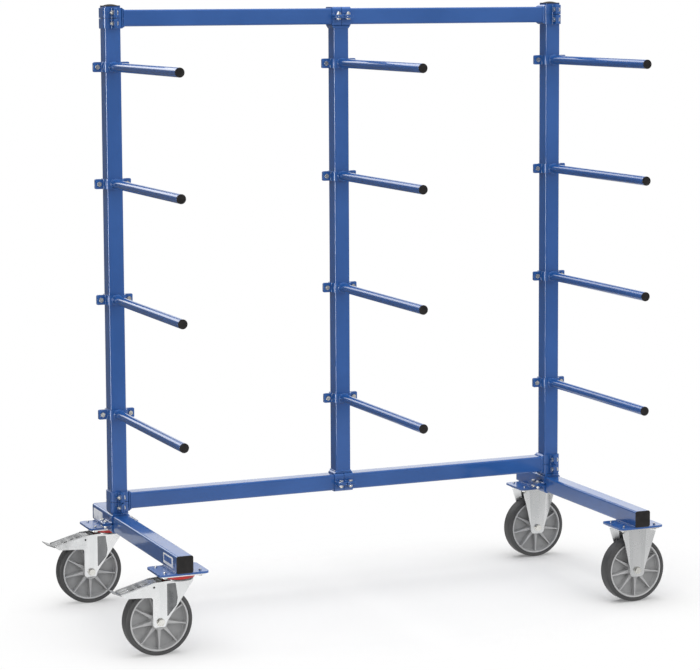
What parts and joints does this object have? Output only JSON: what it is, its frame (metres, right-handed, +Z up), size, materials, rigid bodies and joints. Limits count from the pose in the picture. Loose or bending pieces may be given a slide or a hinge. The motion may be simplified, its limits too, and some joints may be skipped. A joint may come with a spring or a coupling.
{
  "type": "mobile cantilever rack",
  "caption": "Mobile cantilever rack with a bolted square-tube frame, height-adjustable round arms, two braked swivel casters and two fixed casters.",
  "frame": {"origin": "on the floor, straight below the axis of the middle post", "axes": "+X along the rack towards the fixed casters, +Y towards the back (the arms point towards -Y), +Z up"},
  "size_m": [1.778, 0.8124, 1.8368],
  "materials": {
    "blue_powder_coat": "semi-gloss powder coat",
    "black_plastic": "fine-grained black plastic",
    "zinc_fasteners": "bright zinc plate",
    "zinc_sheet": "bright zinc-plated pressed sheet",
    "red_seal": "satin red plastic",
    "tyre_rubber": "smooth dark grey thermoplastic rubber",
    "grey_nylon": "moulded grey plastic",
    "bearing_steel": "ground steel"
  },
  "bodies": {
    "frame": {"base_beam_left": "blue_powder_coat", "base_beam_right": "blue_powder_coat", "post_left": "blue_powder_coat", "post_middle": "blue_powder_coat", "post_right": "blue_powder_coat", "rail_top": "blue_powder_coat", "rail_bottom": "blue_powder_coat", "beam_end_caps": "black_plastic", "post_top_caps": "black_plastic", "joint_straps": "blue_powder_coat", "joint_bolts_and_nuts": "zinc_fasteners", "caster_bolts": "zinc_fasteners", "swivel_top_plates": "zinc_sheet", "swivel_seals": "red_seal", "fixed_axles": "zinc_fasteners", "fixed_bracket_front": "zinc_sheet", "fixed_bracket_rear": "zinc_sheet"},
    "level_1": {"arm_left_1": "blue_powder_coat", "arm_middle_1": "blue_powder_coat", "arm_right_1": "blue_powder_coat", "arm_caps_1": "black_plastic", "arm_straps_1": "blue_powder_coat", "arm_bolts_and_nuts_1": "zinc_fasteners"},
    "level_2": {"arm_left_2": "blue_powder_coat", "arm_middle_2": "blue_powder_coat", "arm_right_2": "blue_powder_coat", "arm_caps_2": "black_plastic", "arm_straps_2": "blue_powder_coat", "arm_bolts_and_nuts_2": "zinc_fasteners"},
    "level_3": {"arm_left_3": "blue_powder_coat", "arm_middle_3": "blue_powder_coat", "arm_right_3": "blue_powder_coat", "arm_caps_3": "black_plastic", "arm_straps_3": "blue_powder_coat", "arm_bolts_and_nuts_3": "zinc_fasteners"},
    "level_4": {"arm_left_4": "blue_powder_coat", "arm_middle_4": "blue_powder_coat", "arm_right_4": "blue_powder_coat", "arm_caps_4": "black_plastic", "arm_straps_4": "blue_powder_coat", "arm_bolts_and_nuts_4": "zinc_fasteners"},
    "fork_front": {"swivel_fork_front": "zinc_sheet", "fork_axle_and_pins_front": "zinc_fasteners"},
    "pedal_front": {"brake_pedal_front": "zinc_sheet"},
    "wheel_front_left": {"tyre_front_left": "tyre_rubber", "rim_front_left": "grey_nylon", "hub_bearings_front_left": "bearing_steel"},
    "wheel_front_right": {"tyre_front_right": "tyre_rubber", "rim_front_right": "grey_nylon", "hub_bearings_front_right": "bearing_steel"},
    "fork_rear": {"swivel_fork_rear": "zinc_sheet", "fork_axle_and_pins_rear": "zinc_fasteners"},
    "pedal_rear": {"brake_pedal_rear": "zinc_sheet"},
    "wheel_rear_left": {"tyre_rear_left": "tyre_rubber", "rim_rear_left": "grey_nylon", "hub_bearings_rear_left": "bearing_steel"},
    "wheel_rear_right": {"tyre_rear_right": "tyre_rubber", "rim_rear_right": "grey_nylon", "hub_bearings_rear_right": "bearing_steel"}
  },
  "joints": [
    {"name": "level_1_height", "type": "slide", "parent": "frame", "child": "level_1", "axis": [0, 0, 1], "range_m": [-0.15, 0.15]},
    {"name": "level_2_height", "type": "slide", "parent": "frame", "child": "level_2", "axis": [0, 0, 1], "range_m": [-0.15, 0.15]},
    {"name": "level_3_height", "type": "slide", "parent": "frame", "child": "level_3", "axis": [0, 0, 1], "range_m": [-0.15, 0.15]},
    {"name": "level_4_height", "type": "slide", "parent": "frame", "child": "level_4", "axis": [0, 0, 1], "range_m": [-0.15, 0.085]},
    {"name": "swivel_front", "type": "hinge", "parent": "frame", "child": "fork_front", "pos_m": [-0.7375, -0.562, 0.218], "axis": [0, 0, 1], "continuous": true},
    {"name": "pedal_front_press", "type": "hinge", "parent": "fork_front", "child": "pedal_front", "pos_m": [-0.8195, -0.562, 0.2015], "axis": [0, 1, 0], "range_deg": [-8, 0]},
    {"name": "spin_front_left", "type": "hinge", "parent": "fork_front", "child": "wheel_front_left", "pos_m": [-0.8015, -0.562, 0.1], "axis": [0, 1, 0], "continuous": true},
    {"name": "spin_front_right", "type": "hinge", "parent": "frame", "child": "wheel_front_right", "pos_m": [0.7375, -0.562, 0.1], "axis": [0, 1, 0], "continuous": true},
    {"name": "swivel_rear", "type": "hinge", "parent": "frame", "child": "fork_rear", "pos_m": [-0.7375, 0.103, 0.218], "axis": [0, 0, 1], "continuous": true},
    {"name": "pedal_rear_press", "type": "hinge", "parent": "fork_rear", "child": "pedal_rear", "pos_m": [-0.8195, 0.103, 0.2015], "axis": [0, 1, 0], "range_deg": [-8, 0]},
    {"name": "spin_rear_left", "type": "hinge", "parent": "fork_rear", "child": "wheel_rear_left", "pos_m": [-0.8015, 0.103, 0.1], "axis": [0, 1, 0], "continuous": true},
    {"name": "spin_rear_right", "type": "hinge", "parent": "frame", "child": "wheel_rear_right", "pos_m": [0.7375, 0.103, 0.1], "axis": [0, 1, 0], "continuous": true}
  ]
}
